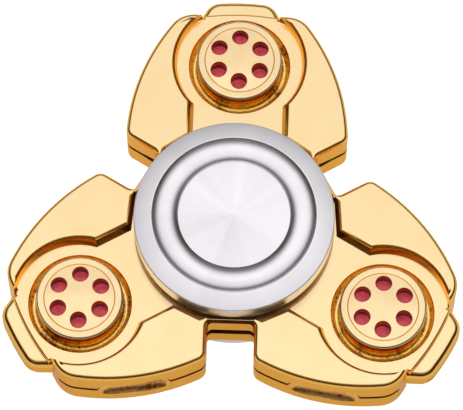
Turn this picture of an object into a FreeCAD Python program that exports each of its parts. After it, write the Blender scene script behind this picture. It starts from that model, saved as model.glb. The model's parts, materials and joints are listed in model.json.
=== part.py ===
"""Three-armed metal fidget spinner on a deep-groove ball bearing, all sizes in millimetres.

The origin is on the spin axis at mid-thickness. +Z is the spin axis and +Y runs along arm 1.
Everything is made for the front (+Z) half and mirrored for the rear half.
"""
import FreeCAD, Part
import math
import os

# ---- driving dimensions -------------------------------------------------------------------
ARM_ANGLES = (90.0, 210.0, 330.0)   # directions of the three arms, degrees
GAP_ANGLES = (150.0, 270.0, 30.0)   # directions half-way between the arms

# arm outline, in an arm's own frame: x outwards along the arm, y across it
WING_END = 32.25                    # the wings end on this line across the arm
STRIP_END_R = 33.1                  # the strip ends on this circle about the spin axis
STRIP_END_HALF = 5.5                # half width of the strip there
FLANK_CENTRE = (12.5, -14.5)        # centre of a wing's long outer edge, for the wing with y > 0
FLANK_R = 30.45                     # radius of that edge
GAP_HALF = 3.35                     # half the gap between two neighbouring arms
BRIDGE_FACE = 14.93                 # outer face of the bridge between two arms, from the spin axis
TIP_CORNER_R = 4.0                  # rounding where a flank runs into the wing's end
HEEL_CORNER_R = 1.5                 # rounding where a flank runs into the gap
BRIDGE_CORNER_R = 0.8               # rounding where the bridge runs into the arms
BRIDGE_WITHIN = 17.0                # the bridges' corners all lie within this circle,
HEEL_WITHIN = 22.0                  # and the flanks' inner corners within this one

# heights above mid-thickness
WING_TOP = 4.6
BRIDGE_TOP = 4.0
STRIP_TOP = 2.8                     # sunk strip along the middle of each arm, and floor round the hub
TAB_TOP = 2.0
WING_EDGE_R = 0.75                  # rounding of the wings' top outer edge
TAB_EDGE_R = 1.1
BRIDGE_EDGE = 0.4                   # chamfer along the top of the bridge

# sunk strip: straight near the hub, round about the arm cap
STRIP_HALF_TOP = 7.05               # half width between the wings' top edges
STRIP_HALF_FOOT = 6.4               # half width at the strip itself
EYE_TOP = (24.75, 9.45)             # centre along the arm and radius of the round part, at the top
EYE_FOOT = (25.1, 9.05)             # the same at the strip

# floor round the hub, closed by the wings' hub-side walls
HUB_WALL_ANGLE = 34.7               # the wall's normal, measured from the arm's axis
HUB_WALL_TOP = 15.0                 # its distance from the spin axis at the wings' top
HUB_WALL_FOOT = 14.5
HUB_MOUTH = 13.4                    # where the floor opens into an arm's strip
BRIDGE_INNER_TOP = 14.55            # inner edge of the bridge's ridge
BRIDGE_INNER_FOOT = 14.3

# tab at each arm's tip
TAB_R = 35.5
TAB_ROOT = (31.5, 6.55)             # where a side line of the tab starts inside the arm
TAB_SIDE = (34.75, 4.78)            # a point on that side line at the tab's tip
TAB_CORNER_R = 2.6

# parting groove round the side and the pockets in it
GROOVE_HALF = 0.4                   # half height of the groove along the flanks
GROOVE_DEPTH = 0.8
GROOVE_FROM = 7.6                   # the flank groove starts this far across from the arm's axis
TAB_LINE_HALF = 0.1                 # half height of the fine line round the tab
TAB_LINE_DEPTH = 0.45
NOTCH_HALF = 0.85                   # half height of the opening at the bridge
NOTCH_DEPTH = 1.0
NOTCH_TIP = 20.3                    # the opening closes to nothing here, from the spin axis
NOTCH_FLOOR = 12.5
POCKET_CENTRE = (23.4, 13.95)       # middle of a flank pocket, in the arm's frame
POCKET_ANGLE = 69.0                 # direction that the pocket faces
POCKET_LENGTH = 11.2                # a round-ended scoop, this long over all
POCKET_R = 2.1                      # radius of the scoop
POCKET_DEPTH = 1.4

# arm cap, its red insert and stud
ARM_CAP_AT = 24.7                   # arm cap's centre, from the spin axis
ARM_CAP_R = 6.17
ARM_CAP_PEAK = 5.9                  # top of the cap's dome
ARM_CAP_DOME_R = 26.0
ARM_CAP_LINE_R = 5.0                # fine line between the dome and the outer band
ARM_CAP_LINE_W = 0.16
ARM_CAP_LINE_D = 0.1
ARM_CAP_EDGE_R = 0.42
ARM_CAP_FOOT = 4.2                  # the cap sits on its boss here
ARM_CAP_ROOF = 4.6                  # underside of the cap's plate
PORT_COUNT = 6
PORT_AT = 3.41                      # the ports' pitch circle radius
PORT_R = 1.2
BOSS_R = 5.8
INSERT_R = 5.0
INSERT_FLOOR = 2.5
INSERT_TOP = 4.55
INSERT_PORT_FLOOR = 3.4
WELL_R = 5.05                       # the boss's bore round the insert
RING_GROOVE_R = 7.35                # outer edge of the round groove about the boss
RING_GROOVE_BOTTOM = 1.5
ARM_STUD_R = 1.5
ARM_STUD_END = 5.4
ARM_STUD_HOLE_R = 1.6

# ball bearing, 8 x 22 x 7
BEARING_BORE_R = 4.0
BEARING_R = 11.0
BEARING_HALF = 3.5
BALL_COUNT = 7
BALL_R = 1.984
BALL_PITCH_R = 7.5
RACE_GAP = 0.03                     # running clearance between a ball and its race groove
INNER_LAND_R = 6.05
OUTER_LAND_R = 8.95
SHIELD_SEAT_R = 9.6
SHIELD_BORE_R = 6.4
SHIELD_FROM = 2.95
SHIELD_THICK = 0.25
CAGE_IN_R = 6.75
CAGE_OUT_R = 8.25
CAGE_THICK = 0.3
CAGE_GAP = 0.06                     # between a ball and its cage pocket
RIVET_R = 0.3
RIVET_HEAD_R = 0.5
RIVET_HEAD = 0.18
RACE_EDGE = 0.25

# bearing seat in the shells
SEAT_CLEAR = 0.01
SEAT_COLLAR_R = 12.6
SEAT_LIP_R = 10.5
SEAT_LIP_TOP = 3.7

# finger caps and the stud that joins them
CAP_R = 14.25
CAP_FOOT = 4.2                      # underside of the cap
CAP_RIM = 7.0                       # height of the rim's top edge
CAP_FACE = 7.65                     # height of the flat centre
CAP_EDGE = 0.18
CAP_FLAT_R = 7.95
CAP_GROOVE_R = 11.7
CAP_GROOVE_FLOOR = 7.0
CAP_BOSS_R = 5.6                    # boss that bears on the inner race
CAP_SLEEVE_R = 3.98
CAP_SLEEVE_END = 0.1
CAP_STUD_R = 2.0
CAP_STUD_END = 5.4

AXIS = FreeCAD.Vector(0, 0, 1)
ORIGIN = FreeCAD.Vector(0, 0, 0)
BEYOND = 3.0                        # how far cutting tools run past what they cut


# ---- helpers ------------------------------------------------------------------------------
def vec(x, y, z=0.0):
    return FreeCAD.Vector(x, y, z)


def polar(radius, angle, z=0.0):
    a = math.radians(angle)
    return vec(radius * math.cos(a), radius * math.sin(a), z)


def turned(shape, angle):
    """A copy turned about the spin axis."""
    copy = shape.copy()
    copy.rotate(ORIGIN, AXIS, angle)
    return copy


def mirrored(shape):
    """The rear half's copy of a front piece."""
    return shape.mirror(ORIGIN, AXIS)


def round_solid(profile, centre=ORIGIN):
    """Revolve an (r, z) profile. An entry is a point, or a pair (via, end) for an arc."""
    edges = []
    start = vec(profile[0][0], 0, profile[0][1])
    here = start
    for step in list(profile[1:]) + [profile[0]]:
        if isinstance(step[0], tuple):
            via = vec(step[0][0], 0, step[0][1])
            end = vec(step[1][0], 0, step[1][1])
            edges.append(Part.Arc(here, via, end).toShape())
        else:
            end = vec(step[0], 0, step[1])
            edges.append(Part.LineSegment(here, end).toShape())
        here = end
    solid = Part.Face(Part.Wire(edges)).revolve(ORIGIN, AXIS, 360)
    solid.translate(centre)
    return solid


def disc(radius, low, high, centre=ORIGIN):
    return Part.makeCylinder(radius, high - low, vec(centre.x, centre.y, low))


def prism(wire, low, high):
    face = Part.Face(wire)
    face.translate(vec(0, 0, low))
    return face.extrude(vec(0, 0, high - low))


def line_crossing(normal_a, reach_a, normal_b, reach_b):
    """The crossing of two lines, each given by its normal's angle and its distance from the axis."""
    a = math.radians(normal_a)
    b = math.radians(normal_b)
    det = math.sin(b - a)
    x = (reach_a * math.sin(b) - reach_b * math.sin(a)) / det
    y = (reach_b * math.cos(a) - reach_a * math.cos(b)) / det
    return (x, y)


def edges_where(shape, test):
    return [edge for edge in shape.Edges if test(edge)]


def lies_at(height):
    """A test for edges that lie wholly at one height."""
    def test(edge):
        box = edge.BoundBox
        return abs(box.ZMin - height) < 1e-4 and abs(box.ZMax - height) < 1e-4
    return test


def stands(edge):
    """A test for upright edges."""
    box = edge.BoundBox
    return box.XLength < 1e-4 and box.YLength < 1e-4 and box.ZLength > 1e-3


# ---- shells -------------------------------------------------------------------------------
def flank_to_gap(inset):
    """Where a flank's arc meets the straight face beside the gap."""
    normal = math.radians(-30)
    reach = GAP_HALF + inset
    radius = FLANK_R - inset
    nx, ny = math.cos(normal), math.sin(normal)
    off = FLANK_CENTRE[0] * nx + FLANK_CENTRE[1] * ny - reach
    run = math.sqrt(radius ** 2 - off ** 2)
    return (FLANK_CENTRE[0] - off * nx - run * ny, FLANK_CENTRE[1] - off * ny + run * nx)


def arm_edges(angle, inset):
    """One arm's outline from bridge to bridge, and the first and last points."""
    end = WING_END - inset
    flank_r = FLANK_R - inset
    tip = (end, FLANK_CENTRE[1] + math.sqrt(flank_r ** 2 - (end - FLANK_CENTRE[0]) ** 2))
    heel = flank_to_gap(inset)
    root = line_crossing(60, BRIDGE_FACE - inset, -30, GAP_HALF + inset)
    middle = math.atan2(tip[1] - FLANK_CENTRE[1], tip[0] - FLANK_CENTRE[0])
    middle += math.atan2(heel[1] - FLANK_CENTRE[1], heel[0] - FLANK_CENTRE[0])
    middle /= 2
    bulge = (FLANK_CENTRE[0] + flank_r * math.cos(middle), FLANK_CENTRE[1] + flank_r * math.sin(middle))

    def place(point, side):
        spot = vec(point[0], side * point[1])
        return FreeCAD.Rotation(AXIS, angle).multVec(spot)

    edges = [
        Part.LineSegment(place(root, -1), place(heel, -1)).toShape(),
        Part.Arc(place(heel, -1), place(bulge, -1), place(tip, -1)).toShape(),
        Part.LineSegment(place(tip, -1), place(tip, 1)).toShape(),
        Part.Arc(place(tip, 1), place(bulge, 1), place(heel, 1)).toShape(),
        Part.LineSegment(place(heel, 1), place(root, 1)).toShape(),
    ]
    return edges, place(root, -1), place(root, 1)


def body_wire(inset=0.0):
    """The whole three-armed outline without the tabs, drawn in by inset."""
    arms = [arm_edges(angle, inset) for angle in ARM_ANGLES]
    edges = []
    for index, (arm, _, last) in enumerate(arms):
        first_of_next = arms[(index + 1) % len(arms)][1]
        edges += arm
        edges.append(Part.LineSegment(last, first_of_next).toShape())
    return Part.Wire(Part.__sortEdges__(edges))


def arms_block(inset, low, high):
    """The three arms' outline drawn in by inset, with its upright corners rounded."""
    block = prism(body_wire(inset), low, high)
    groups = [(TIP_CORNER_R - inset, HEEL_WITHIN, TAB_R), (HEEL_CORNER_R - inset, BRIDGE_WITHIN, HEEL_WITHIN),
              (BRIDGE_CORNER_R, 0, BRIDGE_WITHIN)]
    for radius, nearest, farthest in groups:
        def in_group(edge):
            centre = edge.BoundBox.Center
            return stands(edge) and nearest < math.hypot(centre.x, centre.y) < farthest
        block = block.makeFillet(radius, edges_where(block, in_group))
    return block


def rounded_body():
    """The three arms at full height with a rounded top edge."""
    body = arms_block(0, 0, WING_TOP)
    return body.makeFillet(WING_EDGE_R, edges_where(body, lies_at(WING_TOP)))


def strip_wire(half, eye, height):
    """Keyhole outline of an arm's sunk strip, along +X."""
    centre, radius = eye
    waist = centre - math.sqrt(radius ** 2 - half ** 2)
    inner = HUB_MOUTH - BEYOND
    outer = STRIP_END_R + BEYOND
    crown = radius * 0.5
    far = centre + math.sqrt(radius ** 2 - crown ** 2)
    points = [vec(inner, -half, height), vec(waist, -half, height), vec(centre, -radius, height),
              vec(far, -crown, height), vec(outer, -crown, height), vec(outer, crown, height),
              vec(far, crown, height), vec(centre, radius, height), vec(waist, half, height),
              vec(inner, half, height)]

    def on_eye(angle):
        a = math.radians(angle)
        return vec(centre + radius * math.cos(a), radius * math.sin(a), height)

    turn = math.degrees(math.asin(half / radius))
    edges = [
        Part.LineSegment(points[0], points[1]).toShape(),
        Part.Arc(points[1], on_eye(-(180 - turn + 90) / 2), points[2]).toShape(),
        Part.Arc(points[2], on_eye(-60), points[3]).toShape(),
        Part.LineSegment(points[3], points[4]).toShape(),
        Part.LineSegment(points[4], points[5]).toShape(),
        Part.LineSegment(points[5], points[6]).toShape(),
        Part.Arc(points[6], on_eye(60), points[7]).toShape(),
        Part.Arc(points[7], on_eye((180 - turn + 90) / 2), points[8]).toShape(),
        Part.LineSegment(points[8], points[9]).toShape(),
        Part.LineSegment(points[9], points[0]).toShape(),
    ]
    return Part.Wire(edges)


def strip_cutter():
    """The sunk strip of one arm along +X, with its sloping walls carried on past the top."""
    over = 1.0
    grow = over / (WING_TOP - STRIP_TOP)
    half = STRIP_HALF_TOP + (STRIP_HALF_TOP - STRIP_HALF_FOOT) * grow
    eye = (EYE_TOP[0] + (EYE_TOP[0] - EYE_FOOT[0]) * grow, EYE_TOP[1] + (EYE_TOP[1] - EYE_FOOT[1]) * grow)
    foot = strip_wire(STRIP_HALF_FOOT, EYE_FOOT, STRIP_TOP)
    top = strip_wire(half, eye, WING_TOP + over)
    return Part.makeLoft([foot, top], True, True)


def hub_wire(wall, bridge, height):
    """Twelve-sided outline of the floor round the hub."""
    points = []
    for angle in ARM_ANGLES:
        sides = [(-60, bridge), (-HUB_WALL_ANGLE, wall), (0, HUB_MOUTH), (HUB_WALL_ANGLE, wall), (60, bridge)]
        for (normal_a, reach_a), (normal_b, reach_b) in zip(sides, sides[1:]):
            x, y = line_crossing(normal_a, reach_a, normal_b, reach_b)
            points.append(FreeCAD.Rotation(AXIS, angle).multVec(vec(x, y, height)))
    return Part.makePolygon(points + points[:1])


def hub_cutter():
    over = 1.0
    grow = 1 + over / (WING_TOP - STRIP_TOP)
    wall = HUB_WALL_FOOT + (HUB_WALL_TOP - HUB_WALL_FOOT) * grow
    bridge = BRIDGE_INNER_FOOT + (BRIDGE_INNER_TOP - BRIDGE_INNER_FOOT) * grow
    foot = hub_wire(HUB_WALL_FOOT, BRIDGE_INNER_FOOT, STRIP_TOP)
    top = hub_wire(wall, bridge, WING_TOP + over)
    return Part.makeLoft([foot, top], True, True)


def bridge_cutter():
    """What lies above the bridge in the gap along +X, with the chamfer on its outer edge."""
    inner = HUB_MOUTH
    outer = BRIDGE_FACE + BEYOND
    side = [vec(inner, 0, BRIDGE_TOP), vec(BRIDGE_FACE - BRIDGE_EDGE, 0, BRIDGE_TOP),
            vec(BRIDGE_FACE, 0, BRIDGE_TOP - BRIDGE_EDGE), vec(outer, 0, BRIDGE_TOP - BRIDGE_EDGE - BEYOND),
            vec(outer, 0, WING_TOP + 1), vec(inner, 0, WING_TOP + 1)]
    face = Part.Face(Part.makePolygon(side + side[:1]))
    face.translate(vec(0, -GAP_HALF, 0))
    return face.extrude(vec(0, 2 * GAP_HALF, 0))


def tab():
    """The low tab at the tip of the arm along +X."""
    root_x, root_y = TAB_ROOT
    slope = (TAB_SIDE[1] - root_y) / (TAB_SIDE[0] - root_x)
    tip_x = TAB_R
    for _ in range(8):
        tip_y = root_y + slope * (tip_x - root_x)
        tip_x = math.sqrt(TAB_R ** 2 - tip_y ** 2)
    edges = [
        Part.LineSegment(vec(root_x, -root_y), vec(tip_x, -tip_y)).toShape(),
        Part.Arc(vec(tip_x, -tip_y), vec(TAB_R, 0), vec(tip_x, tip_y)).toShape(),
        Part.LineSegment(vec(tip_x, tip_y), vec(root_x, root_y)).toShape(),
        Part.LineSegment(vec(root_x, root_y), vec(root_x, -root_y)).toShape(),
    ]
    solid = prism(Part.Wire(edges), 0, TAB_TOP)
    corners = edges_where(solid, lambda edge: stands(edge) and edge.BoundBox.XMin > STRIP_END_R)
    solid = solid.makeFillet(TAB_CORNER_R, corners)
    rim = edges_where(solid, lambda edge: lies_at(TAB_TOP)(edge) and edge.BoundBox.XMax > root_x + 0.1)
    solid = solid.makeFillet(TAB_EDGE_R, rim)
    line = disc(TAB_R + BEYOND, -TAB_LINE_HALF, TAB_LINE_HALF)
    line = line.cut(disc(TAB_R - TAB_LINE_DEPTH, -1, 1))
    return solid.cut(line)


def strip_end():
    """The end of the strip along +X, between its tab and the wings."""
    block = disc(STRIP_END_R, 0, STRIP_TOP)
    width = 2 * STRIP_END_HALF
    return block.common(Part.makeBox(BEYOND, width, WING_TOP, vec(TAB_ROOT[0], -STRIP_END_HALF)))


def ring_groove():
    """Round groove about an arm cap's boss, along +X, with a round bottom."""
    middle = (BOSS_R + RING_GROOVE_R) / 2
    half = (RING_GROOVE_R - BOSS_R) / 2
    spring = RING_GROOVE_BOTTOM + half
    over = WING_TOP + 1
    profile = [(BOSS_R, over), (BOSS_R, spring), ((middle, RING_GROOVE_BOTTOM), (RING_GROOVE_R, spring)),
               (RING_GROOVE_R, over)]
    return round_solid(profile, vec(ARM_CAP_AT, 0))


def boss():
    """Boss that carries an arm cap, along +X."""
    centre = vec(ARM_CAP_AT, 0)
    solid = disc(BOSS_R, 0, ARM_CAP_FOOT, centre)
    solid = solid.cut(disc(WELL_R, INSERT_FLOOR, WING_TOP + 1, centre))
    return solid.cut(disc(ARM_STUD_HOLE_R, -1, WING_TOP, centre))


def flank_groove():
    """Half of the parting groove along both flanks of the arm along +X."""
    ring = prism(body_wire(-BEYOND / 2), -GROOVE_HALF, GROOVE_HALF)
    ring = ring.cut(arms_block(GROOVE_DEPTH, -1, 1))
    reach = STRIP_END_R * 2
    upper = Part.makeBox(reach, reach, 2, vec(0, GROOVE_FROM, -1))
    lower = Part.makeBox(reach, reach, 2, vec(0, -GROOVE_FROM - reach, -1))
    return turned(ring, -ARM_ANGLES[0]).common(upper.fuse(lower))


def gap_notch():
    """The wedge that opens the parting line at the bridge, in the gap along +X."""
    side = [vec(NOTCH_FLOOR, 0, -NOTCH_HALF), vec(BRIDGE_FACE, 0, -NOTCH_HALF), vec(NOTCH_TIP, 0, 0),
            vec(BRIDGE_FACE, 0, NOTCH_HALF), vec(NOTCH_FLOOR, 0, NOTCH_HALF)]
    half = GAP_HALF + NOTCH_DEPTH
    face = Part.Face(Part.makePolygon(side + side[:1]))
    face.translate(vec(0, -half, 0))
    return face.extrude(vec(0, 2 * half, 0))


def pocket(side):
    """Round-ended scoop in one flank of the arm along +X."""
    straight = POCKET_LENGTH - 2 * POCKET_R
    tool = Part.makeCylinder(POCKET_R, straight, vec(0, -straight / 2, 0), vec(0, 1, 0))
    for end in (-straight / 2, straight / 2):
        tool = tool.fuse(Part.makeSphere(POCKET_R, vec(0, end, 0)))
    tool.translate(vec(POCKET_R - POCKET_DEPTH, 0, 0))
    tool.rotate(ORIGIN, AXIS, side * POCKET_ANGLE)
    tool.translate(vec(POCKET_CENTRE[0], side * POCKET_CENTRE[1]))
    return tool.removeSplitter()


def front_shell():
    """Front half of the cast body."""
    shell = rounded_body()
    shell = shell.cut(hub_cutter())
    for angle in GAP_ANGLES:
        shell = shell.cut(turned(bridge_cutter(), angle))
        shell = shell.cut(turned(gap_notch(), angle))
    for angle in ARM_ANGLES:
        shell = shell.cut(turned(strip_cutter(), angle))
        shell = shell.cut(turned(flank_groove(), angle))
        for side in (-1, 1):
            shell = shell.cut(turned(pocket(side), angle))
        shell = shell.fuse(turned(tab(), angle))
        shell = shell.fuse(turned(strip_end(), angle))
        shell = shell.cut(turned(ring_groove(), angle))
        shell = shell.cut(disc(BOSS_R, -1, WING_TOP, polar(ARM_CAP_AT, angle)))
        shell = shell.fuse(turned(boss(), angle))
    collar = disc(SEAT_COLLAR_R, STRIP_TOP, SEAT_LIP_TOP)
    shell = shell.fuse(collar)
    shell = shell.cut(disc(BEARING_R + SEAT_CLEAR, -1, BEARING_HALF))
    shell = shell.cut(disc(SEAT_LIP_R, 0, WING_TOP))
    return shell.removeSplitter()


# ---- arm caps, inserts and studs ------------------------------------------------------------
def arm_cap():
    """Domed cap with a ring of ports, for the arm along +X."""
    centre = vec(ARM_CAP_AT, 0)

    def dome(radius):
        return ARM_CAP_PEAK - ARM_CAP_DOME_R + math.sqrt(ARM_CAP_DOME_R ** 2 - radius ** 2)

    inner = ARM_CAP_LINE_R - ARM_CAP_LINE_W / 2
    outer = ARM_CAP_LINE_R + ARM_CAP_LINE_W / 2
    band = dome(outer)
    edge = ARM_CAP_EDGE_R * (1 - math.sqrt(0.5))
    profile = [
        (0, ARM_CAP_ROOF),
        (WELL_R, ARM_CAP_ROOF),
        (WELL_R, ARM_CAP_FOOT),
        (ARM_CAP_R, ARM_CAP_FOOT),
        (ARM_CAP_R, band - ARM_CAP_EDGE_R),
        ((ARM_CAP_R - edge, band - edge), (ARM_CAP_R - ARM_CAP_EDGE_R, band)),
        (outer, band),
        (ARM_CAP_LINE_R, band - ARM_CAP_LINE_D),
        (inner, dome(inner)),
        ((inner / 2, dome(inner / 2)), (0, ARM_CAP_PEAK)),
    ]
    cap = round_solid(profile, centre)
    for index in range(PORT_COUNT):
        spot = centre + polar(PORT_AT, index * 360 / PORT_COUNT)
        cap = cap.cut(disc(PORT_R, 0, WING_TOP + BEYOND, spot))
    return cap.cut(disc(ARM_STUD_R, 0, ARM_STUD_END, centre))


def arm_insert():
    """Coloured cup disc under the ports, for the arm along +X."""
    centre = vec(ARM_CAP_AT, 0)
    insert = disc(INSERT_R, INSERT_FLOOR, INSERT_TOP, centre)
    for index in range(PORT_COUNT):
        spot = centre + polar(PORT_AT, index * 360 / PORT_COUNT)
        insert = insert.cut(disc(PORT_R, INSERT_PORT_FLOOR, WING_TOP, spot))
    return insert.cut(disc(ARM_STUD_HOLE_R, 0, WING_TOP, centre))


def arm_stud():
    """Threaded stud that pulls the front and rear caps of an arm together."""
    point = ARM_STUD_R * 0.8
    lead = ARM_STUD_R - point
    profile = [(0, -ARM_STUD_END), (point, -ARM_STUD_END), (ARM_STUD_R, lead - ARM_STUD_END),
               (ARM_STUD_R, ARM_STUD_END - lead), (point, ARM_STUD_END), (0, ARM_STUD_END)]
    return round_solid(profile, vec(ARM_CAP_AT, 0))


# ---- bearing ----------------------------------------------------------------------------------
def ball_centre(index):
    return polar(BALL_PITCH_R, 90 + index * 360 / BALL_COUNT)


def inner_race():
    e = RACE_EDGE
    profile = [(BEARING_BORE_R, -BEARING_HALF + e), (BEARING_BORE_R + e, -BEARING_HALF),
               (INNER_LAND_R - e, -BEARING_HALF), (INNER_LAND_R, -BEARING_HALF + e),
               (INNER_LAND_R, BEARING_HALF - e), (INNER_LAND_R - e, BEARING_HALF),
               (BEARING_BORE_R + e, BEARING_HALF), (BEARING_BORE_R, BEARING_HALF - e)]
    return round_solid(profile).cut(Part.makeTorus(BALL_PITCH_R, BALL_R + RACE_GAP))


def outer_race():
    e = RACE_EDGE
    seat = SHIELD_FROM
    profile = [(OUTER_LAND_R, -seat), (SHIELD_SEAT_R, -seat), (SHIELD_SEAT_R, -BEARING_HALF),
               (BEARING_R - e, -BEARING_HALF), (BEARING_R, -BEARING_HALF + e), (BEARING_R, BEARING_HALF - e),
               (BEARING_R - e, BEARING_HALF), (SHIELD_SEAT_R, BEARING_HALF), (SHIELD_SEAT_R, seat),
               (OUTER_LAND_R, seat)]
    return round_solid(profile).cut(Part.makeTorus(BALL_PITCH_R, BALL_R + RACE_GAP))


def bearing_shield():
    """Thin dished ring that closes the front of the bearing."""
    back = SHIELD_FROM
    face = SHIELD_FROM + SHIELD_THICK
    turn = SHIELD_THICK
    profile = [(SHIELD_BORE_R, back), (SHIELD_SEAT_R - turn, back), (SHIELD_SEAT_R, back),
               (SHIELD_SEAT_R, face + turn), (SHIELD_SEAT_R - turn, face + turn),
               (SHIELD_SEAT_R - turn, face), (SHIELD_BORE_R, face)]
    return round_solid(profile)


def cage_half():
    """Front half of the pressed ribbon cage."""
    band = disc(CAGE_OUT_R, 0, BALL_R * 2).cut(disc(CAGE_IN_R, -1, BALL_R * 3))
    half = disc(CAGE_OUT_R, 0, CAGE_THICK).cut(disc(CAGE_IN_R, -1, 1))
    pocket_r = BALL_R + CAGE_GAP
    for index in range(BALL_COUNT):
        half = half.fuse(Part.makeSphere(pocket_r + CAGE_THICK, ball_centre(index)).common(band))
    for index in range(BALL_COUNT):
        half = half.cut(Part.makeSphere(pocket_r, ball_centre(index)))
        half = half.cut(disc(RIVET_R, -1, 1, ball_centre(index + 0.5)))
    return half.removeSplitter()


def cage_rivet(index):
    reach = CAGE_THICK + RIVET_HEAD
    profile = [(0, -reach), (RIVET_HEAD_R, -reach), (RIVET_HEAD_R, -CAGE_THICK), (RIVET_R, -CAGE_THICK),
               (RIVET_R, CAGE_THICK), (RIVET_HEAD_R, CAGE_THICK), (RIVET_HEAD_R, reach), (0, reach)]
    return round_solid(profile, ball_centre(index + 0.5))


# ---- finger caps --------------------------------------------------------------------------------
def finger_cap():
    """Turned cap that fingers hold, with a finger groove, a boss and a sleeve through the bearing."""
    middle = (CAP_GROOVE_R + CAP_FLAT_R) / 2
    e = CAP_EDGE
    profile = [
        (CAP_STUD_R, CAP_SLEEVE_END),
        (CAP_SLEEVE_R, CAP_SLEEVE_END),
        (CAP_SLEEVE_R, BEARING_HALF),
        (CAP_BOSS_R, BEARING_HALF),
        (CAP_BOSS_R, CAP_FOOT),
        (CAP_R - e, CAP_FOOT),
        (CAP_R, CAP_FOOT + e),
        (CAP_R, CAP_RIM - e),
        (CAP_R - e, CAP_RIM),
        (CAP_GROOVE_R, CAP_FACE),
        ((middle, CAP_GROOVE_FLOOR), (CAP_FLAT_R, CAP_FACE)),
        (0, CAP_FACE),
        (0, CAP_STUD_END),
        (CAP_STUD_R, CAP_STUD_END),
    ]
    return round_solid(profile)


def finger_cap_stud():
    """Headless screw that joins the two finger caps inside the bearing's bore."""
    point = CAP_STUD_R * 0.8
    lead = CAP_STUD_R - point
    profile = [(0, -CAP_STUD_END), (point, -CAP_STUD_END), (CAP_STUD_R, lead - CAP_STUD_END),
               (CAP_STUD_R, CAP_STUD_END - lead), (point, CAP_STUD_END), (0, CAP_STUD_END)]
    return round_solid(profile)


# ---- write every piece ----------------------------------------------------------------------------
def save(name, shape):
    os.makedirs("parts", exist_ok=True)
    shape.exportStep(os.path.join("parts", name + ".step"))
    print(name, "solids", len(shape.Solids), "valid", shape.isValid(), "volume", round(shape.Volume, 2))


def save_pair(name, shape):
    save("front_" + name, shape)
    save("rear_" + name, mirrored(shape))


save_pair("shell", front_shell())
save_pair("finger_cap", finger_cap())
save("finger_cap_stud", finger_cap_stud())
save("bearing_inner_race", inner_race())
save("bearing_outer_race", outer_race())
save_pair("bearing_shield", bearing_shield())
save_pair("cage_half", cage_half())
save("cage_rivets", Part.makeCompound([cage_rivet(index) for index in range(BALL_COUNT)]))
for index in range(BALL_COUNT):
    save("ball_%d" % (index + 1), Part.makeSphere(BALL_R, ball_centre(index)))
for number, angle in enumerate(ARM_ANGLES, 1):
    save_pair("arm_cap_%d" % number, turned(arm_cap(), angle))
    save_pair("arm_insert_%d" % number, turned(arm_insert(), angle))
    save("arm_stud_%d" % number, turned(arm_stud(), angle))
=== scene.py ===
"""Finished pieces, materials, light and camera for a three-armed fidget spinner.

Lengths in the mesh code are in metres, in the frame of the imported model: +Z along the spin axis,
+Y along arm 1, the origin on the axis at mid-thickness.
"""
import json
import math

import bmesh
import bpy
from mathutils import Matrix, Vector

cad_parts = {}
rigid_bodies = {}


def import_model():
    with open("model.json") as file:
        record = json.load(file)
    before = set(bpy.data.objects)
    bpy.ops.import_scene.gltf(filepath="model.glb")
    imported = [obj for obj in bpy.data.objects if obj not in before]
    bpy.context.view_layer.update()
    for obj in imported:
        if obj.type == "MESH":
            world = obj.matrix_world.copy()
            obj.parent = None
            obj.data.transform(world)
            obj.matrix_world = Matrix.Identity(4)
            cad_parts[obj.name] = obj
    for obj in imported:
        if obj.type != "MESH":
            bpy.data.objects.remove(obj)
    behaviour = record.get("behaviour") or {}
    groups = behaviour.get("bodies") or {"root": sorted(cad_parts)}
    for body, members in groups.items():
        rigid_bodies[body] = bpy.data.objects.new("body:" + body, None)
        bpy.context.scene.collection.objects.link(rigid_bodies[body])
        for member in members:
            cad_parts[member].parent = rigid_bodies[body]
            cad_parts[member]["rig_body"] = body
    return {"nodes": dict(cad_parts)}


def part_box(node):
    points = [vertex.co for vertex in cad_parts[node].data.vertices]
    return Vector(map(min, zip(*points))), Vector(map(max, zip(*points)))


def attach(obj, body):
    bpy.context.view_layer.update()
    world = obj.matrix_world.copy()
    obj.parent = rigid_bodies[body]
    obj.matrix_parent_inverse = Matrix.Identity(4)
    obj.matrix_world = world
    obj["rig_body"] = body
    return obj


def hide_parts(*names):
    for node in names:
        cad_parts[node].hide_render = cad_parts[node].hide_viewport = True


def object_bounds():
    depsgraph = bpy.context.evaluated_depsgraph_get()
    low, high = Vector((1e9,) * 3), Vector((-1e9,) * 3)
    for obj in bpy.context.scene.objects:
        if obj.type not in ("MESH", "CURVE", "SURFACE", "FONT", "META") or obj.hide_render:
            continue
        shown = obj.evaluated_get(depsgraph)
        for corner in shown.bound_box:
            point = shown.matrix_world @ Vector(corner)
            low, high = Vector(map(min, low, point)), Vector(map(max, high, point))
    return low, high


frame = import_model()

bl_info = {
    "name": "Fidget spinner looks",
    "version": (1, 0, 0),
    "blender": (4, 5, 0),
    "location": "3D View > Sidebar > Spinner",
    "description": "Finished pieces, materials, light and camera for a three-armed fidget spinner",
    "category": "Object",
}

CAD_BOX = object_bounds()
MM = 0.001
ARM_ANGLES = (90, 210, 330)
SIDES = {"front": 1, "rear": -1}      # which way each side faces along Z

# Hollows and edges of the shells, with the arm along X
ARM_CAP_AT = 24.7 * MM                # an arm cap's centre, from the spin axis
RING_GROOVE = (5.7 * MM, 7.36 * MM)   # inner and outer radius of the groove round an arm cap
STRIP_TOP = 2.8 * MM                  # height of an arm's sunk strip over mid-thickness
STRIP_END_FROM = 32.3 * MM            # a strip's edges further from the spin axis are its end
POCKET_CENTRE = Vector((23.4 * MM, 13.95 * MM, 0))
POCKET_FACES = math.radians(69)       # the way a side pocket faces, from the arm's axis
POCKET_HALF = (5.65 * MM, 1.99 * MM)  # half a pocket's length and half its height
POCKET_DEPTH = 1.5 * MM
FLANK_DIAMETER = 60.9 * MM            # of the arc that a flank follows
LEAST_DEPTH = 0.1 * MM                # a face less deep than this belongs to the outside

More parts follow.
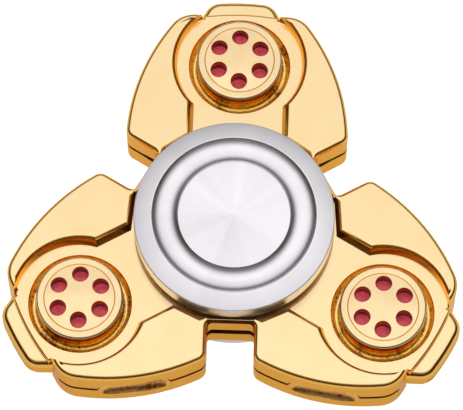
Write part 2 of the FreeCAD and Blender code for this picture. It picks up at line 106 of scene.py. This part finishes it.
# Section of a finger cap below its face
CAP_FOOT = 4.2 * MM                   # height of the cap's underside
CAP_RIM = 7.0 * MM                    # height of the rim's top edge
CAP_RIM_ROUND = 0.16 * MM
CAP_BREAK = 0.1 * MM                  # small rounding on turned edges
CAP_BOSS_RADIUS = 5.6 * MM            # boss that bears on the inner race
CAP_BOSS_END = 3.5 * MM
CAP_SLEEVE_RADIUS = 3.98 * MM         # sleeve through the bearing
CAP_SLEEVE_END = 0.1 * MM
CAP_STUD_RADIUS = 2.0 * MM            # hole for the stud
CAP_STUD_END = 5.4 * MM
CAP_MARK = (0.3 * MM, 0.06 * MM)      # radius and depth of the turning mark at the centre

# Fineness and tolerances of the mesh work
JOIN_WITHIN = 1e-7
SAME_HEIGHT = 1e-6
FLAT_WITHIN = math.radians(0.1)       # triangles that bend less than this become one face
SHARP_FROM = math.radians(32)
UPRIGHT = 0.02                        # a face whose normal rises less than this is an upright wall
TURN_STEPS = 160
GROOVE_STEPS = 24
ARC_STEPS = 6
EDGE_STEPS = 4

# How far a normal rises where the plating's painted pale highlight starts, and where it is full; below it the
# plating takes the painted shade of walls and edges
PAINTED_PALE_SHELL = (0.88, 0.995)
PAINTED_PALE_CAP = (0.3, 0.65)

# Dark brown of the specks in grooves and pockets: partly pits, partly painted shade in these hollows
PIT_AND_SHADE_BROWN = (0.34, 0.1, 0.015)
WHITE = (1, 1, 1, 1)
FLOOR_WHITE = (0.85, 0.85, 0.85)
FLOOR_GLOW = (0.3, 0.92)              # the floor's own light, on the piece and as it is seen
CARD_HALF = 0.3                       # half the light card's side
CARD_NEARER = 0.1                     # how far its middle is from the spin axis, towards the near arms
CARD_FADE = (0.085, 0.12)             # how far beyond the axis its light starts and ends to fade
CLIP = (0.01, 20)                     # nearest and furthest distance that the camera sees


def width(node):
    """A node's size along X at rest."""
    low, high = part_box(node)
    return high.x - low.x


def top(node):
    """A node's highest point at rest."""
    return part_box(node)[1].z


# ---- sizes and colours a user may change -----------------------------------------------------
class SpinnerSizes(bpy.types.PropertyGroup):
    """Sizes of the pieces that are made new here."""

    cap_radius: bpy.props.FloatProperty(
        name="Finger cap radius", description="Radius of the turned finger caps",
        default=width("front_finger_cap") / 2, unit="LENGTH")
    cap_face: bpy.props.FloatProperty(
        name="Finger cap face", description="Height of a finger cap's flat centre over mid-thickness",
        default=top("front_finger_cap"), unit="LENGTH")
    cap_flat_radius: bpy.props.FloatProperty(
        name="Flat centre radius", description="Radius of a finger cap's flat centre",
        default=7.95 * MM, unit="LENGTH")
    cap_groove_radius: bpy.props.FloatProperty(
        name="Finger groove radius", description="Outer radius of a finger cap's round groove",
        default=11.7 * MM, unit="LENGTH")
    cap_groove_depth: bpy.props.FloatProperty(
        name="Finger groove depth", description="Depth of the round groove below the flat centre",
        default=0.65 * MM, unit="LENGTH")
    wing_round: bpy.props.FloatProperty(
        name="Wing rounding", description="Rounding of the wings' edges along the sunk strip",
        default=0.5 * MM, unit="LENGTH")
    strip_round: bpy.props.FloatProperty(
        name="Strip end rounding", description="Rounding of the sunk strip's end over the tab",
        default=0.45 * MM, unit="LENGTH")
    edge_round: bpy.props.FloatProperty(
        name="Edge rounding", description="Small rounding on the shells' sharp edges",
        default=0.08 * MM, unit="LENGTH")


class SpinnerFinishes(bpy.types.PropertyGroup):
    """Colours of the finishes."""

    # Painted light: the pale gold below is a painted highlight on faces that look up or down, and the deeper
    # gold after it is painted shade on walls and rounded edges
    gold: bpy.props.FloatVectorProperty(
        name="Gold plating", description="Colour of the polished plating on the flat faces",
        default=(1.0, 0.76, 0.425), size=3, min=0, max=1, subtype="COLOR")
    side_shade_gold: bpy.props.FloatVectorProperty(
        name="Gold on the sides", description="Deeper colour of the plating on walls and rounded edges",
        default=(1.0, 0.56, 0.13), size=3, min=0, max=1, subtype="COLOR")
    # The deeper colours of the plating in the grooves and pockets below are partly painted shade of these
    # hollows
    cast_gold: bpy.props.FloatVectorProperty(
        name="Plating in the grooves", description="Colour of the rougher plating in grooves and pockets",
        default=(1.0, 0.63, 0.13), size=3, min=0, max=1, subtype="COLOR")
    pocket_gold: bpy.props.FloatVectorProperty(
        name="Plating in the pockets", description="Colour of the rougher plating in the side pockets",
        default=(1.0, 0.52, 0.14), size=3, min=0, max=1, subtype="COLOR")
    # The dull colour below is painted shade on an arm cap's walls, in and round the ports
    port_wall_shade: bpy.props.FloatVectorProperty(
        name="Plating in the ports", description="Dull colour of the plating on an arm cap's walls",
        default=(0.42, 0.17, 0.045), size=3, min=0, max=1, subtype="COLOR")
    aluminium: bpy.props.FloatVectorProperty(
        name="Aluminium", description="Colour of the turned finger caps",
        default=(0.98, 0.958, 0.99), size=3, min=0, max=1, subtype="COLOR")
    red: bpy.props.FloatVectorProperty(
        name="Insert red", description="Colour of the inserts under the ports",
        default=(0.98, 0.09, 0.12), size=3, min=0, max=1, subtype="COLOR")
    steel: bpy.props.FloatVectorProperty(
        name="Bearing steel", description="Colour of the bearing's ground steel",
        default=(0.62, 0.63, 0.65), size=3, min=0, max=1, subtype="COLOR")


class SpinnerStage(bpy.types.PropertyGroup):
    """Camera, floor and light."""

    elevation: bpy.props.FloatProperty(
        name="Camera elevation", description="Angle of the camera above the horizon",
        default=math.radians(69.46), subtype="ANGLE")
    turn: bpy.props.FloatProperty(
        name="Camera turn", description="Angle of the camera round the spin axis from -Y",
        default=math.radians(1.75), subtype="ANGLE")
    distance: bpy.props.FloatProperty(
        name="Camera distance", description="Distance from the camera to the arms' sunk strips",
        default=0.539, unit="LENGTH")
    lens: bpy.props.FloatProperty(
        name="Lens", description="Focal length in millimetres", default=294.1)
    aim_aside: bpy.props.FloatProperty(
        name="Aim aside", description="How far to the right of the axis the camera aims",
        default=-0.37 * MM, unit="LENGTH")
    aim_up: bpy.props.FloatProperty(
        name="Aim up", description="How far above the axis the camera aims, in the picture",
        default=3.06 * MM, unit="LENGTH")
    light: bpy.props.FloatProperty(
        name="Light", description="Brightness of the overhead light", default=0.97)
    light_lean: bpy.props.FloatProperty(
        name="Light lean", description="How far the overhead light leans away from the camera",
        default=math.radians(17), subtype="ANGLE")
    light_inner: bpy.props.FloatProperty(
        name="Light core", description="Angle from the light's middle that is fully bright",
        default=math.radians(25), subtype="ANGLE")
    light_outer: bpy.props.FloatProperty(
        name="Light edge", description="Angle from the light's middle where it has faded out",
        default=math.radians(55), subtype="ANGLE")
    card_light: bpy.props.FloatVectorProperty(
        name="Card light", description="Extra light from the card above the near arms",
        default=(0.14, 0.135, 0.145), size=3, min=0, max=1, subtype="COLOR")
    card_height: bpy.props.FloatProperty(
        name="Card height", description="Height of the light card over mid-thickness",
        default=0.3, unit="LENGTH")
    room: bpy.props.FloatVectorProperty(
        name="Room", description="Colour of the dark room round the light",
        default=(0.028, 0.01, 0.006), size=3, min=0, max=1, subtype="COLOR")
    rim: bpy.props.FloatProperty(
        name="Rim", description="Brightness of the pale rim at the floor", default=0.7)
    rim_top: bpy.props.FloatProperty(
        name="Rim top", description="Angle above the floor where the pale rim ends",
        default=math.radians(19), subtype="ANGLE")
    floor_size: bpy.props.FloatProperty(
        name="Floor size", description="Side of the square floor", default=6.0, unit="LENGTH")


# ---- mesh helpers --------------------------------------------------------------------------------
def piece_from(bm, name):
    """A finished object at the origin from a bmesh, shaded smooth with its hard edges kept.

    An upright wall is shaded apart from a rounding beside it, so that it stays evenly upright.
    """
    bm.normal_update()
    for face in bm.faces:
        face.smooth = True
    for edge in bm.edges:
        upright = {abs(face.normal.z) < UPRIGHT for face in edge.link_faces}
        edge.smooth = len(upright) == 1 and edge.calc_face_angle(math.pi) < SHARP_FROM
    mesh = bpy.data.meshes.new(name)
    bm.to_mesh(mesh)
    bm.free()
    piece = bpy.data.objects.new(name, mesh)
    bpy.context.scene.collection.objects.link(piece)
    return piece


def joined_copy(node):
    """A node's mesh as a bmesh, joined up."""
    bm = bmesh.new()
    bm.from_mesh(frame["nodes"][node].data)
    bmesh.ops.remove_doubles(bm, verts=bm.verts, dist=JOIN_WITHIN)
    return bm


def rounded(corners):
    """A line through (radius, height, rounding) corners, with each corner turned into an arc."""
    points = []
    for index, (r, z, rounding) in enumerate(corners):
        here = Vector((r, z))
        if rounding == 0 or index in (0, len(corners) - 1):
            points.append(here)
            continue
        before = (Vector(corners[index - 1][:2]) - here).normalized()
        after = (Vector(corners[index + 1][:2]) - here).normalized()
        half = before.angle(after) / 2
        centre = here + (before + after).normalized() * rounding / math.sin(half)
        start = here + before * rounding / math.tan(half) - centre
        end = here + after * rounding / math.tan(half) - centre
        sweep = start.angle_signed(end)
        for step in range(ARC_STEPS + 1):
            points.append(centre + Matrix.Rotation(-sweep * step / ARC_STEPS, 2) @ start)
    return points


def turned_mesh(line):
    """Spin a closed line of (radius, height) points about Z into a closed bmesh."""
    bm = bmesh.new()
    ring = [bm.verts.new((radius, 0, height)) for radius, height in line]
    edges = [bm.edges.new(pair) for pair in zip(ring, ring[1:] + ring[:1])]
    bmesh.ops.spin(bm, geom=ring + edges, cent=(0, 0, 0), axis=(0, 0, 1), dvec=(0, 0, 0),
                   angle=math.tau, steps=TURN_STEPS, use_merge=True, use_normal_flip=False,
                   use_duplicate=False)
    bmesh.ops.remove_doubles(bm, verts=bm.verts, dist=JOIN_WITHIN)
    bmesh.ops.recalc_face_normals(bm, faces=bm.faces)
    return bm


def flip_to_rear(bm):
    """Mirror a front piece to the rear."""
    bmesh.ops.scale(bm, vec=(1, 1, -1), verts=bm.verts)
    bmesh.ops.reverse_faces(bm, faces=bm.faces)


def finish_piece(piece, node, materials):
    """Put materials on a new piece, let it ride on its node's body and stand for that node."""
    for material in materials:
        piece.data.materials.append(material)
    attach(piece, frame["nodes"][node]["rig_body"])
    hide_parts(node)
    return piece


# ---- materials -------------------------------------------------------------------------------------
def add_node(tree, kind, inputs=None, **settings):
    """Add a node to a tree, with its inputs joined to sockets or set to values."""
    node = tree.nodes.new(kind)
    for key, value in settings.items():
        setattr(node, key, value)
    for key, value in (inputs or {}).items():
        if isinstance(value, bpy.types.NodeSocket):
            tree.links.new(value, node.inputs[key])
        else:
            node.inputs[key].default_value = value
    return node


class Recipe:
    """A material in the making, with short ways to add and join its nodes."""

    def __init__(self, name, colour, metallic, roughness):
        self.material = bpy.data.materials.new(name)
        self.material.use_nodes = True
        self.tree = self.material.node_tree
        self.shader = self.tree.nodes["Principled BSDF"]
        self.shader.inputs["Base Color"].default_value = (*colour, 1)
        self.shader.inputs["Metallic"].default_value = metallic
        self.shader.inputs["Roughness"].default_value = roughness
        self.place = self.tree.nodes.new("ShaderNodeTexCoord").outputs["Object"]

    def add(self, kind, inputs=None, **settings):
        """Add a node to this material."""
        return add_node(self.tree, kind, inputs, **settings)

    def noise(self, size, detail=2.0, vector=None, rough=0.5):
        """Noise whose features are about size metres wide."""
        inputs = {"Vector": vector or self.place, "Scale": 1 / size, "Detail": detail, "Roughness": rough}
        return self.add("ShaderNodeTexNoise", inputs).outputs["Fac"]

    def spread(self, value, low, high, from_low=0.3, from_high=0.7):
        """A value brought from one range to another."""
        inputs = {"Value": value, "From Min": from_low, "From Max": from_high,
                  "To Min": low, "To Max": high}
        return self.add("ShaderNodeMapRange", inputs).outputs["Result"]

    def product(self, one, other):
        return self.add("ShaderNodeMath", {0: one, 1: other}, operation="MULTIPLY").outputs[0]

    def level(self):
        """How level the surface is: 1 where it faces straight up or down, 0 on an upright wall."""
        facing = self.add("ShaderNodeTexCoord").outputs["Normal"]
        rise = self.add("ShaderNodeSeparateXYZ", {"Vector": facing}).outputs["Z"]
        return self.add("ShaderNodeMath", {0: rise}, operation="ABSOLUTE").outputs[0]

    def blend(self, share, dark, light):
        """A colour between two, by share."""
        node = self.add("ShaderNodeMix", data_type="RGBA")
        self.tree.links.new(share, node.inputs["Factor"])
        for socket, colour in (("A", dark), ("B", light)):
            for entry in node.inputs:
                if entry.name == socket and entry.type == "RGBA":
                    entry.default_value = (*colour, 1)
        return next(out for out in node.outputs if out.type == "RGBA")

    def bump(self, height, depth, under=None):
        """Bump of a depth in metres, laid over another bump."""
        inputs = {"Height": height, "Distance": depth, "Strength": 1.0}
        if under is not None:
            inputs["Normal"] = under
        return self.add("ShaderNodeBump", inputs).outputs["Normal"]

    def feed(self, socket, value):
        """Let a value that varies over the surface drive one of the shader's sockets."""
        self.tree.links.new(value, self.shader.inputs[socket])


def shade(colour, factor):
    """A colour made darker or lighter by a factor."""
    return tuple(min(1.0, part * factor) for part in colour)


def polished_gold(name, colour, deep, painted_pale_from, painted_pale_to):
    """Bright plating with painted light: a painted pale highlight on the faces that look up or down, and
    painted shade, deeper, on walls and edges.
    """
    gold = Recipe(name, colour, metallic=1.0, roughness=0.1)
    gold.shader.inputs["Specular Tint"].default_value = (0.95, 0.74, 0.45, 1)
    painted_pale = gold.spread(gold.level(), low=0, high=1, from_low=painted_pale_from, from_high=painted_pale_to)
    cloud = gold.spread(gold.noise(size=5 * MM, detail=3), low=0.86, high=1)
    # Painted highlight and painted shade: pale where a face looks up or down, the deeper colour on walls and
    # edges
    gold.feed("Base Color", gold.blend(gold.product(cloud, painted_pale), deep, colour))
    haze = gold.noise(size=3.5 * MM, detail=5, rough=0.65)
    gold.feed("Roughness", gold.spread(haze, low=0.1, high=0.17))
    ripple = gold.bump(gold.noise(size=4.5 * MM, detail=1), depth=0.004 * MM)
    gold.feed("Normal", gold.bump(gold.noise(size=0.5 * MM, detail=3), depth=0.0006 * MM, under=ripple))
    return gold.material


def cast_gold(name, colour):
    """Plating over an unpolished cast surface: pitted and speckled; its deeper colour and dark brown specks
    are partly painted shade of the grooves and pockets it lines.
    """
    gold = Recipe(name, colour, metallic=1.0, roughness=0.3)
    speck = gold.noise(size=0.5 * MM, detail=4, rough=0.7)
    patches = gold.noise(size=3.5 * MM, detail=2)
    # The dark specks are partly pits and partly painted shade of the hollow
    share = gold.spread(gold.product(speck, patches), low=0, high=1, from_low=0.14, from_high=0.23)
    gold.feed("Base Color", gold.blend(share, PIT_AND_SHADE_BROWN, colour))
    gold.shader.inputs["Specular Tint"].default_value = (1.0, 0.84, 0.45, 1)
    gold.feed("Roughness", gold.spread(speck, low=0.2, high=0.4))
    gold.feed("Normal", gold.bump(gold.noise(size=0.45 * MM, detail=3), depth=0.035 * MM))
    return gold.material


def turned_aluminium(name, colour):
    """Lathe-turned aluminium: fine rings round the axis that stretch each highlight into a fan, and painted
    highlight fans round the axis in its colour.
    """
    metal = Recipe(name, colour, metallic=1.0, roughness=0.4)
    metal.shader.inputs["Anisotropic"].default_value = 0.6
    tangent = metal.add("ShaderNodeTangent", direction_type="RADIAL", axis="Z").outputs["Tangent"]
    metal.feed("Tangent", tangent)
    flat = metal.add("ShaderNodeMapping", {"Vector": metal.place, "Scale": (1, 1, 0)}).outputs["Vector"]
    radius = metal.add("ShaderNodeVectorMath", {0: flat}, operation="LENGTH").outputs["Value"]
    along = metal.add("ShaderNodeCombineXYZ", {"X": radius}).outputs["Vector"]
    rings = metal.noise(size=0.12 * MM, detail=2, vector=along)
    wide_rings = metal.noise(size=0.9 * MM, detail=2, vector=along)
    around = metal.add("ShaderNodeVectorMath", {0: flat}, operation="NORMALIZE").outputs["Vector"]
    # Painted highlight: lighter and darker fans round the axis, as turned metal catches the light
    painted_highlight_fans = metal.noise(size=0.7, detail=2, vector=around)
    painted_highlight_fans = metal.spread(painted_highlight_fans, low=0, high=1, from_low=0.36, from_high=0.62)
    share = metal.product(metal.spread(wide_rings, low=0.85, high=1), painted_highlight_fans)
    metal.feed("Base Color", metal.blend(share, shade(colour, 0.9), colour))
    metal.feed("Roughness", metal.spread(wide_rings, low=0.3, high=0.36))
    metal.feed("Normal", metal.bump(rings, depth=0.0016 * MM))
    return metal.material


def red_plastic(name, colour):
    """Clear-tinted moulded plastic with painted light: the faces that look up glow a little, and the ports'
    walls are painted dark as shade.
    """
    plastic = Recipe(name, colour, metallic=0.0, roughness=0.25)
    plastic.shader.inputs["Emission Color"].default_value = (*colour, 1)
    plastic.shader.inputs["Coat Weight"].default_value = 0.15
    plastic.shader.inputs["Coat Roughness"].default_value = 0.1
    level = plastic.level()
    cloud = plastic.spread(plastic.noise(size=0.8 * MM, detail=3), low=0.6, high=1)
    share = plastic.product(cloud, level)
    # Painted light: walls are painted almost black as shade, and faces that look up are painted bright and
    # made to glow
    plastic.feed("Base Color", plastic.blend(share, shade(colour, 0.06), colour))
    plastic.feed("Emission Strength", plastic.spread(share, low=0, high=0.36, from_low=0.2, from_high=1))
    plastic.feed("Roughness", plastic.spread(plastic.noise(size=0.4 * MM, detail=3), low=0.2, high=0.34))
    plastic.feed("Normal", plastic.bump(plastic.noise(size=0.6 * MM, detail=2), depth=0.01 * MM))
    return plastic.material


def ground_steel(name, colour, roughness):
    """Ground or pressed steel with a fine, even grain."""
    steel = Recipe(name, colour, metallic=1.0, roughness=roughness)
    grain = steel.noise(size=0.35 * MM, detail=4)
    share = steel.spread(grain, low=0, high=1)
    steel.feed("Base Color", steel.blend(share, shade(colour, 0.86), colour))
    steel.feed("Roughness", steel.spread(grain, low=roughness * 0.8, high=roughness * 1.25))
    steel.feed("Normal", steel.bump(grain, depth=0.001 * MM))
    return steel.material


def kept(name, make, *values):
    """A finish by name, made once. Its name is set apart from the frame's own materials."""
    name = "finish_" + name
    return bpy.data.materials.get(name) or make(name, *values)


def dress(node, material):
    """Give a carried-over node a material."""
    for slot in frame["nodes"][node].material_slots:
        slot.material = material


def dress_each_arm(piece, material):
    """Give a material to the piece of this name on each side of each arm."""
    for side in SIDES:
        for number in range(1, len(ARM_ANGLES) + 1):
            dress("%s_%s_%d" % (side, piece, number), material)


# ---- operators ---------------------------------------------------------------------------------------
class SPINNER_OT_shells(bpy.types.Operator):
    """Make the gold-plated front and rear shells"""

    bl_idname = "spinner.shells"
    bl_label = "Shells"

    def execute(self, context):
        sizes = context.scene.spinner_sizes
        finishes = context.scene.spinner_finishes
        polished = kept("gold_plating", polished_gold, tuple(finishes.gold), tuple(finishes.side_shade_gold),
                        *PAINTED_PALE_SHELL)
        cast = kept("cast_gold_plating", cast_gold, tuple(finishes.cast_gold))
        pocket = kept("pocket_gold_plating", cast_gold, tuple(finishes.pocket_gold))
        for side in SIDES:
            node = side + "_shell"
            bm = joined_copy(node)
            bmesh.ops.dissolve_limit(bm, angle_limit=FLAT_WITHIN, verts=bm.verts, edges=bm.edges)
            wing_top = max(abs(vert.co.z) for vert in bm.verts)
            self.round_edges(bm, wing_top, 0, sizes.wing_round)
            self.round_edges(bm, STRIP_TOP, STRIP_END_FROM, sizes.strip_round)
            for face in bm.faces:
                face.material_index = self.hollow_at(face.calc_center_median())
            piece = piece_from(bm, side + "_shell_finished")
            finish_piece(piece, node, [polished, cast, pocket])
            rounding = piece.modifiers.new("edge rounding", "BEVEL")
            rounding.width = sizes.edge_round
            rounding.segments = 2
            rounding.limit_method = "ANGLE"
            rounding.angle_limit = SHARP_FROM
            rounding.face_strength_mode = "FSTR_ALL"
            even = piece.modifiers.new("even shading", "WEIGHTED_NORMAL")
            even.keep_sharp = True
            even.use_face_influence = True
        return {"FINISHED"}

    @staticmethod
    def round_edges(bm, height, nearest, rounding):
        """Round the sharp edges at one height over mid-thickness that lie further out than nearest."""
        def lies_there(vert):
            return abs(abs(vert.co.z) - height) < SAME_HEIGHT and vert.co.xy.length > nearest

        edges = [edge for edge in bm.edges
                 if all(lies_there(vert) for vert in edge.verts) and edge.calc_face_angle(0) > SHARP_FROM]
        bmesh.ops.bevel(bm, geom=edges, offset=rounding, offset_type="OFFSET", segments=EDGE_STEPS,
                        profile=0.5, affect="EDGES", clamp_overlap=False, material=-1)

    @staticmethod
    def hollow_at(point):
        """The unpolished hollow that a place lies in, whose plating also carries painted shade: 1 a ring
        groove, 2 a side pocket, 0 neither.
        """
        facing = Vector((math.cos(POCKET_FACES), math.sin(POCKET_FACES), 0))
        across = Vector((-facing.y, facing.x, 0))
        for angle in ARM_ANGLES:
            local = Matrix.Rotation(-math.radians(angle), 3, "Z") @ point
            from_cap = math.hypot(local.x - ARM_CAP_AT, local.y)
            if RING_GROOVE[0] < from_cap < RING_GROOVE[1] and abs(point.z) < STRIP_TOP - LEAST_DEPTH:
                return 1
            local.y = abs(local.y)
            from_pocket = local - POCKET_CENTRE
            along = from_pocket.dot(across)
            depth = -from_pocket.dot(facing) - along ** 2 / FLANK_DIAMETER
            inside = abs(along) < POCKET_HALF[0] and abs(point.z) < POCKET_HALF[1]
            if inside and LEAST_DEPTH < depth < POCKET_DEPTH:
                return 2
        return 0


class SPINNER_OT_finger_caps(bpy.types.Operator):
    """Turn the two aluminium finger caps"""

    bl_idname = "spinner.finger_caps"
    bl_label = "Finger caps"

    def execute(self, context):
        sizes = context.scene.spinner_sizes
        metal = kept("turned_aluminium", turned_aluminium, tuple(context.scene.spinner_finishes.aluminium))
        for side, sign in SIDES.items():
            bm = turned_mesh(self.line(sizes))
            if sign < 0:
                flip_to_rear(bm)
            piece = piece_from(bm, side + "_finger_cap_turned")
            finish_piece(piece, side + "_finger_cap", [metal])
        return {"FINISHED"}

    @staticmethod
    def line(sizes):
        """Half section of a finger cap, from the underside's bore round to the centre of the face."""
        face = sizes.cap_face
        middle = (sizes.cap_groove_radius + sizes.cap_flat_radius) / 2
        half = (sizes.cap_groove_radius - sizes.cap_flat_radius) / 2
        bend = (half ** 2 + sizes.cap_groove_depth ** 2) / (2 * sizes.cap_groove_depth)
        reach = math.asin(half / bend)
        groove = []
        for step in range(1, GROOVE_STEPS):
            turn = reach * (1 - 2 * step / GROOVE_STEPS)
            height = face - sizes.cap_groove_depth + bend * (1 - math.cos(turn))
            groove.append(Vector((middle + bend * math.sin(turn), height)))
        outer = rounded([
            (CAP_STUD_RADIUS, CAP_SLEEVE_END, 0),
            (CAP_SLEEVE_RADIUS, CAP_SLEEVE_END, CAP_BREAK),
            (CAP_SLEEVE_RADIUS, CAP_BOSS_END, CAP_BREAK / 2),
            (CAP_BOSS_RADIUS, CAP_BOSS_END, CAP_BREAK),
            (CAP_BOSS_RADIUS, CAP_FOOT, CAP_BREAK),
            (sizes.cap_radius, CAP_FOOT, CAP_BREAK * 2),
            (sizes.cap_radius, CAP_RIM, CAP_RIM_ROUND),
            (sizes.cap_groove_radius + CAP_BREAK, face, CAP_BREAK),
            (sizes.cap_groove_radius, face, 0)])
        mark_radius, mark_depth = CAP_MARK
        inner = rounded([
            (sizes.cap_flat_radius, face, 0), (sizes.cap_flat_radius - CAP_BREAK, face, 0),
            (mark_radius, face, 0), (0, face - mark_depth, 0),
            (0, CAP_STUD_END, 0), (CAP_STUD_RADIUS, CAP_STUD_END, 0)])
        return outer + groove + inner


class SPINNER_OT_arm_caps(bpy.types.Operator):
    """Finish the six domed arm caps"""

    bl_idname = "spinner.arm_caps"
    bl_label = "Arm caps"

    def execute(self, context):
        finishes = context.scene.spinner_finishes
        # The arm caps' walls take the dull colour as painted shade, and their faces that look up or down take
        # a painted pale highlight
        gold = kept("cap_gold_plating", polished_gold, tuple(finishes.gold), tuple(finishes.port_wall_shade),
                    *PAINTED_PALE_CAP)
        dress_each_arm("arm_cap", gold)
        return {"FINISHED"}


class SPINNER_OT_inserts(bpy.types.Operator):
    """Finish the red inserts under the ports"""

    bl_idname = "spinner.inserts"
    bl_label = "Inserts"

    def execute(self, context):
        red = kept("red_plastic", red_plastic, tuple(context.scene.spinner_finishes.red))
        dress_each_arm("arm_insert", red)
        return {"FINISHED"}


class SPINNER_OT_bearing(bpy.types.Operator):
    """Finish the ball bearing and the studs"""

    bl_idname = "spinner.bearing"
    bl_label = "Bearing and studs"

    def execute(self, context):
        steel = tuple(context.scene.spinner_finishes.steel)
        ground = kept("ground_steel", ground_steel, steel, 0.16)
        bright = kept("ball_steel", ground_steel, shade(steel, 1.25), 0.06)
        pressed = kept("pressed_steel", ground_steel, shade(steel, 1.05), 0.3)
        threaded = kept("stud_steel", ground_steel, shade(steel, 0.85), 0.36)
        finish = {"bearing_": ground, "ball_": bright, "front_bearing": pressed, "rear_bearing": pressed,
                  "front_cage": pressed, "rear_cage": pressed, "cage_": pressed,
                  "arm_stud": threaded, "finger_cap_stud": threaded}
        for node in frame["nodes"]:
            for start, material in finish.items():
                if node.startswith(start):
                    dress(node, material)
        return {"FINISHED"}


class SPINNER_OT_stage(bpy.types.Operator):
    """Set the floor, the light and the camera"""

    bl_idname = "spinner.stage"
    bl_label = "Floor, light and camera"

    def execute(self, context):
        stage = context.scene.spinner_stage
        self.floor(stage)
        self.card(stage)
        self.sky(context.scene, stage)
        self.camera(context.scene, stage)
        context.scene.view_settings.view_transform = "Standard"
        return {"FINISHED"}

    @staticmethod
    def floor(stage):
        """A white floor that looks evenly white, and lights the piece as plain paper would."""
        bm = bmesh.new()
        bmesh.ops.create_grid(bm, x_segments=4, y_segments=4, size=stage.floor_size / 2)
        bmesh.ops.translate(bm, vec=(0, 0, CAD_BOX[0].z), verts=bm.verts)
        floor = piece_from(bm, "floor")
        white = Recipe("white_floor", FLOOR_WHITE, metallic=0.0, roughness=0.9)
        seen = white.add("ShaderNodeLightPath").outputs["Is Camera Ray"]
        white.shader.inputs["Emission Color"].default_value = WHITE
        white.feed("Emission Strength", white.spread(seen, *FLOOR_GLOW, from_low=0, from_high=1))
        floor.data.materials.append(white.material)

    @staticmethod
    def card(stage):
        """A large paper-white light above the near arms, fading out towards the far arm."""
        bm = bmesh.new()
        bmesh.ops.create_grid(bm, x_segments=1, y_segments=1, size=CARD_HALF)
        bmesh.ops.translate(bm, vec=(0, -CARD_NEARER, stage.card_height), verts=bm.verts)
        card = piece_from(bm, "light_card")
        glow = Recipe("card_light", (0, 0, 0), metallic=0.0, roughness=1.0)
        along = glow.add("ShaderNodeSeparateXYZ", {"Vector": glow.place}).outputs["Y"]
        glow.shader.inputs["Emission Color"].default_value = (*stage.card_light, 1)
        fade_from, fade_to = CARD_FADE
        lit = glow.spread(along, low=1, high=0, from_low=fade_from, from_high=fade_to)
        glow.feed("Emission Strength", lit)
        clear = glow.add("ShaderNodeBsdfTransparent")
        both = glow.add("ShaderNodeAddShader", {0: clear.outputs[0], 1: glow.shader.outputs[0]})
        glow.tree.links.new(both.outputs[0], glow.tree.nodes["Material Output"].inputs["Surface"])
        card.data.materials.append(glow.material)
        card.visible_camera = False
        card.visible_shadow = False

    @staticmethod
    def sky(scene, stage):
        """A soft overhead light behind the piece, a dark room round it, and a pale rim near the floor."""
        world = bpy.data.worlds.new("studio")
        scene.world = world
        world.use_nodes = True
        tree = world.node_tree
        background = tree.nodes["Background"]

        def faded(value, dark_at, bright_at, brightness):
            """A smooth rise from nothing to a brightness, as a value goes from one place to another."""
            inputs = {"Value": value, "From Min": dark_at, "From Max": bright_at,
                      "To Min": 0.0, "To Max": brightness}
            node = add_node(tree, "ShaderNodeMapRange", inputs, interpolation_type="SMOOTHSTEP")
            return node.outputs["Result"]

        way = tree.nodes.new("ShaderNodeTexCoord").outputs["Generated"]
        axis = (0, math.sin(stage.light_lean), math.cos(stage.light_lean))
        toward = add_node(tree, "ShaderNodeVectorMath", {0: way, 1: axis}, operation="DOT_PRODUCT")
        light = faded(toward.outputs["Value"], math.cos(stage.light_outer), math.cos(stage.light_inner), 1.0)
        up = add_node(tree, "ShaderNodeSeparateXYZ", {"Vector": way}).outputs["Z"]
        rim = faded(up, math.sin(stage.rim_top), 0.0, stage.rim)
        bright = add_node(tree, "ShaderNodeMath", {0: light, 1: rim}, operation="MAXIMUM").outputs[0]
        total = add_node(tree, "ShaderNodeVectorMath", {0: bright, 1: tuple(stage.room)}, operation="MAXIMUM")
        tree.links.new(total.outputs["Vector"], background.inputs["Color"])
        background.inputs["Strength"].default_value = stage.light

    @staticmethod
    def camera(scene, stage):
        """A long lens above the near arms, aimed close to the spin axis at the height of the strips."""
        flat = math.cos(stage.elevation)
        away = Vector((flat * math.sin(stage.turn), -flat * math.cos(stage.turn),
                       math.sin(stage.elevation)))
        right = away.cross(Vector((0, 0, -1))).normalized()
        up = away.cross(right)
        pivot = Vector((0, 0, STRIP_TOP))
        data = bpy.data.cameras.new("camera")
        data.lens = stage.lens
        data.clip_start, data.clip_end = CLIP
        camera = bpy.data.objects.new("camera", data)
        scene.collection.objects.link(camera)
        camera.location = pivot + away * stage.distance
        target = pivot + right * stage.aim_aside + up * stage.aim_up
        camera.rotation_euler = (target - camera.location).to_track_quat("-Z", "Y").to_euler()
        scene.camera = camera


OPERATORS = (SPINNER_OT_stage, SPINNER_OT_shells, SPINNER_OT_finger_caps, SPINNER_OT_arm_caps,
             SPINNER_OT_inserts, SPINNER_OT_bearing)


class SPINNER_PT_panel(bpy.types.Panel):
    """List the steps that finish the spinner, with their sizes and colours"""

    bl_idname = "SPINNER_PT_panel"
    bl_label = "Fidget spinner"
    bl_space_type = "VIEW_3D"
    bl_region_type = "UI"
    bl_category = "Spinner"

    def draw(self, context):
        layout = self.layout
        for operator in OPERATORS:
            layout.operator(operator.bl_idname)
        for group_name in GROUPS:
            group = getattr(context.scene, group_name)
            column = layout.column(align=True)
            for name in group.__annotations__:
                column.prop(group, name)


GROUPS = {"spinner_sizes": SpinnerSizes, "spinner_finishes": SpinnerFinishes, "spinner_stage": SpinnerStage}


def register():
    for name, group in GROUPS.items():
        bpy.utils.register_class(group)
        setattr(bpy.types.Scene, name, bpy.props.PointerProperty(type=group))
    for cls in (*OPERATORS, SPINNER_PT_panel):
        bpy.utils.register_class(cls)


def unregister():
    for cls in reversed((*OPERATORS, SPINNER_PT_panel)):
        bpy.utils.unregister_class(cls)
    for name, group in GROUPS.items():
        delattr(bpy.types.Scene, name)
        bpy.utils.unregister_class(group)


def main():
    register()
    for operator in OPERATORS:
        group, name = operator.bl_idname.split(".")
        getattr(getattr(bpy.ops, group), name)()


if __name__ == "__main__":
    main()
